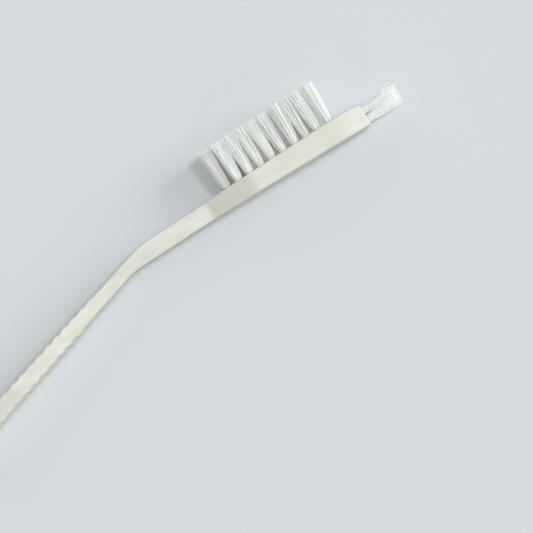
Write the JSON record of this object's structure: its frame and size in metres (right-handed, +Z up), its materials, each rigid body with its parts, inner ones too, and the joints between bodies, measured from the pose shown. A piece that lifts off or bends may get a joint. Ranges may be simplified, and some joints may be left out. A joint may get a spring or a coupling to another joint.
{
  "type": "small bent-handle scrubbing brush",
  "caption": "Slim one-piece brush with a bent, ribbed grip, upright bristle tufts in rows on the head and a bristle tuft cluster pointing forward from the tip.",
  "frame": {"origin": "middle of the bounding box, on the surface that the brush lies on, one of its two flat sides down", "axes": "+X along the head towards its tip, +Y the way the head's bristles point, +Z up, across the brush from one side to the other"},
  "size_m": [0.1544, 0.036, 0.0104],
  "materials": {
    "handle": "ivory-white injection-moulded polypropylene with a satin surface",
    "bristles": "translucent white nylon filaments, trimmed and rounded at the tips",
    "anchor_wire": "flat drawn wire, cut to length"
  },
  "bodies": {
    "root": {"end_tuft_1": "bristles", "end_tuft_2": "bristles", "end_tuft_3": "bristles", "end_tuft_4": "bristles", "end_tuft_anchors": "anchor_wire", "handle": "handle", "head_tuft_anchors": "anchor_wire", "tuft_middle_1": "bristles", "tuft_middle_2": "bristles", "tuft_middle_3": "bristles", "tuft_middle_4": "bristles", "tuft_middle_5": "bristles", "tuft_middle_6": "bristles", "tuft_middle_7": "bristles", "tuft_row_01_1": "bristles", "tuft_row_01_2": "bristles", "tuft_row_02_1": "bristles", "tuft_row_02_2": "bristles", "tuft_row_03_1": "bristles", "tuft_row_03_2": "bristles", "tuft_row_04_1": "bristles", "tuft_row_04_2": "bristles", "tuft_row_05_1": "bristles", "tuft_row_05_2": "bristles", "tuft_row_06_1": "bristles", "tuft_row_06_2": "bristles", "tuft_row_07_1": "bristles", "tuft_row_07_2": "bristles", "tuft_row_08_1": "bristles", "tuft_row_08_2": "bristles", "tuft_row_09_1": "bristles", "tuft_row_09_2": "bristles", "tuft_row_10_1": "bristles", "tuft_row_10_2": "bristles"}
  },
  "joints": []
}
